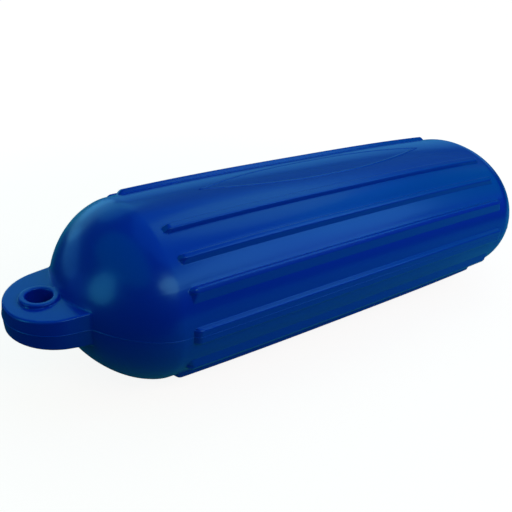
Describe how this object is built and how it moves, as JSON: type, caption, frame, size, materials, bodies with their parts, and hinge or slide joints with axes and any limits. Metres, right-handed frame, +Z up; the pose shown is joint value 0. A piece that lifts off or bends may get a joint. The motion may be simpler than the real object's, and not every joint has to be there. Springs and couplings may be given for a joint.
{
  "type": "pneumatic fender",
  "caption": "Long air-filled vinyl boat fender with domed ends, raised lengthwise ribs and a moulded rope eye at each end, lying on its side.",
  "frame": {"origin": "the fender's centre, midway between its two eyes and between its top and bottom", "axes": "+X along the fender, away from the front eye; +Y across; +Z up, square to the plane of both eyes and of the mould's parting"},
  "size_m": [0.5566, 0.1672, 0.1422],
  "materials": {
    "vinyl": "satin",
    "valve_rubber": "matte"
  },
  "bodies": {
    "root": {"fender_body": "vinyl", "valve_insert": "valve_rubber"}
  },
  "joints": []
}
